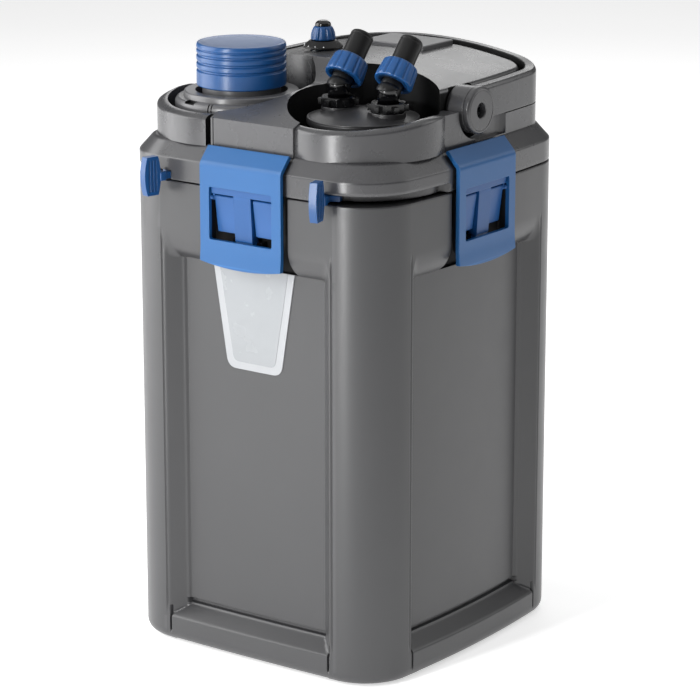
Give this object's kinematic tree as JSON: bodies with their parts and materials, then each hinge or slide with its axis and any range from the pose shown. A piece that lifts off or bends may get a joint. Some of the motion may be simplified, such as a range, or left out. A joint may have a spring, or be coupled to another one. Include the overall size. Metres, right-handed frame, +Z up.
{
  "type": "aquarium canister filter",
  "caption": "Upright canister filter for an aquarium: square tub with corner posts, clamped pump head, carry handle, lift-out pre-filter and swivelling hose elbows.",
  "frame": {"origin": "centre of the plan, on the surface that the four feet stand on", "axes": "+Z up, -Y towards the front with the badge, +X to the right seen from the front"},
  "size_m": [0.2312, 0.2646, 0.4221],
  "materials": {
    "shell": "fine grained moulded plastic, dark grey",
    "head": "satin moulded plastic, mid grey",
    "black": "polished black plastic",
    "clamp": "satin light blue plastic",
    "blue": "satin deep blue plastic",
    "badge": "silver field with a white border, clear coat",
    "rubber": "matt black rubber",
    "tray": "plain moulded plastic",
    "foam": "open cell filter foam",
    "ceramic": "porous ceramic media",
    "steel": "plain stainless steel",
    "glass": "clear heater glass"
  },
  "bodies": {
    "root": {"badge_plate": "badge", "bottom_media": "ceramic", "bottom_tray": "tray", "cable_gland": "black", "canister": "shell", "clamp_anchor_back": "black", "clamp_anchor_front": "black", "clamp_anchor_left": "black", "clamp_anchor_right": "black", "foot_back_left": "rubber", "foot_back_right": "rubber", "foot_front_left": "rubber", "foot_front_right": "rubber", "head_base": "head", "head_seal": "rubber", "impeller_shaft": "steel", "middle_media": "foam", "middle_tray": "tray", "pivot_screw_left": "steel", "pivot_screw_right": "steel", "prefilter_tube": "tray", "pump_cover": "black", "pump_motor": "black", "service_cover": "head", "top_media": "foam", "top_tray": "tray"},
    "handle": {"carry_handle": "head", "pivot_cap_left": "head", "pivot_cap_right": "head"},
    "prefilter": {"prefilter_lid": "head", "prefilter_core": "tray", "prefilter_foam": "foam", "primer_spring": "steel"},
    "primer": {"primer_button": "blue"},
    "adapter": {"adapter_disc": "black", "gland_nut_left": "black", "gland_nut_right": "black"},
    "elbow_left_body": {"elbow_left": "black", "hose_nozzle_left": "black"},
    "elbow_right_body": {"elbow_right": "black", "hose_nozzle_right": "black"},
    "union_left_body": {"union_nut_left": "blue"},
    "union_right_body": {"union_nut_right": "blue"},
    "lock_left_body": {"lock_lever_left": "blue"},
    "lock_right_body": {"lock_lever_right": "blue"},
    "heater": {"heater_tube": "glass", "heater_base": "black"},
    "heater_dial": {"heater_knob": "blue", "heater_knob_cap": "black"},
    "rotor": {"impeller": "tray", "rotor_magnet": "steel"},
    "link_front": {"clamp_link_front": "clamp"},
    "clamp_front": {"clamp_lever_front": "clamp"},
    "link_right": {"clamp_link_right": "clamp"},
    "clamp_right": {"clamp_lever_right": "clamp"},
    "link_back": {"clamp_link_back": "clamp"},
    "clamp_back": {"clamp_lever_back": "clamp"},
    "link_left": {"clamp_link_left": "clamp"},
    "clamp_left": {"clamp_lever_left": "clamp"}
  },
  "joints": [
    {"name": "handle_raise", "type": "hinge", "parent": "root", "child": "handle", "pos_m": [0, 0.004, 0.3712], "axis": [1, 0, 0], "range_deg": [0, 84]},
    {"name": "prefilter_lift", "type": "slide", "parent": "root", "child": "prefilter", "axis": [0, 0, 1], "range_m": [0, 0.29]},
    {"name": "primer_press", "type": "slide", "parent": "prefilter", "child": "primer", "axis": [0, 0, -1], "range_m": [0, 0.012], "stiffness_N_per_m": 300, "springref_m": -0.01, "deforming": ["primer_spring"]},
    {"name": "adapter_lift", "type": "slide", "parent": "root", "child": "adapter", "axis": [0, 0, 1], "range_m": [0, 0.06]},
    {"name": "elbow_left_swivel", "type": "hinge", "parent": "adapter", "child": "elbow_left_body", "pos_m": [0.03025, -0.05, 0.3865], "axis": [0, 0, 1], "range_deg": [-45, 45]},
    {"name": "union_nut_left_spin", "type": "hinge", "parent": "elbow_left_body", "child": "union_left_body", "pos_m": [0.03025, -0.05, 0.3865], "axis": [0, 0.6561, 0.7547], "continuous": true},
    {"name": "elbow_right_swivel", "type": "hinge", "parent": "adapter", "child": "elbow_right_body", "pos_m": [0.06975, -0.05, 0.3865], "axis": [0, 0, 1], "range_deg": [-45, 45]},
    {"name": "union_nut_right_spin", "type": "hinge", "parent": "elbow_right_body", "child": "union_right_body", "pos_m": [0.06975, -0.05, 0.3865], "axis": [0, 0.6561, 0.7547], "continuous": true},
    {"name": "lock_lever_right_turn", "type": "hinge", "parent": "root", "child": "lock_right_body", "pos_m": [0.05, -0.05, 0.327], "axis": [0, 0, 1], "range_deg": [0, 76]},
    {"name": "lock_lever_left_turn", "type": "hinge", "parent": "root", "child": "lock_left_body", "pos_m": [-0.05, -0.05, 0.327], "axis": [0, 0, -1], "range_deg": [0, 73]},
    {"name": "heater_lift", "type": "slide", "parent": "root", "child": "heater", "axis": [0, 0, -1], "range_m": [-0.33, 0]},
    {"name": "heater_dial_turn", "type": "hinge", "parent": "heater", "child": "heater_dial", "pos_m": [-0.037, 0.024, 0.407], "axis": [0, 0, 1], "range_deg": [0, 270]},
    {"name": "impeller_spin", "type": "hinge", "parent": "root", "child": "rotor", "pos_m": [0.024, 0.052, 0.33], "axis": [0, 0, 1], "continuous": true},
    {"name": "clamp_front_swing", "type": "hinge", "parent": "root", "child": "link_front", "pos_m": [0, -0.1077, 0.288], "axis": [1, 0, 0], "range_deg": [0, 60]},
    {"name": "clamp_front_tilt", "type": "hinge", "parent": "link_front", "child": "clamp_front", "pos_m": [0, -0.1132, 0.3175], "axis": [1, 0, 0], "range_deg": [-80, 0]},
    {"name": "clamp_right_swing", "type": "hinge", "parent": "root", "child": "link_right", "pos_m": [0.1052, 0, 0.288], "axis": [0, 1, 0], "range_deg": [0, 60]},
    {"name": "clamp_right_tilt", "type": "hinge", "parent": "link_right", "child": "clamp_right", "pos_m": [0.1107, 0, 0.3175], "axis": [0, 1, 0], "range_deg": [-80, 0]},
    {"name": "clamp_back_swing", "type": "hinge", "parent": "root", "child": "link_back", "pos_m": [0, 0.1077, 0.288], "axis": [-1, 0, 0], "range_deg": [0, 60]},
    {"name": "clamp_back_tilt", "type": "hinge", "parent": "link_back", "child": "clamp_back", "pos_m": [0, 0.1132, 0.3175], "axis": [-1, 0, 0], "range_deg": [-80, 0]},
    {"name": "clamp_left_swing", "type": "hinge", "parent": "root", "child": "link_left", "pos_m": [-0.1052, 0, 0.288], "axis": [0, -1, 0], "range_deg": [0, 60]},
    {"name": "clamp_left_tilt", "type": "hinge", "parent": "link_left", "child": "clamp_left", "pos_m": [-0.1107, 0, 0.3175], "axis": [0, -1, 0], "range_deg": [-80, 0]}
  ],
  "couplings": [
    {"joint": "clamp_front_tilt", "follows": "clamp_front_swing", "ratio": -1.3},
    {"joint": "clamp_right_tilt", "follows": "clamp_right_swing", "ratio": -1.3},
    {"joint": "clamp_back_tilt", "follows": "clamp_back_swing", "ratio": -1.3},
    {"joint": "clamp_left_tilt", "follows": "clamp_left_swing", "ratio": -1.3}
  ]
}
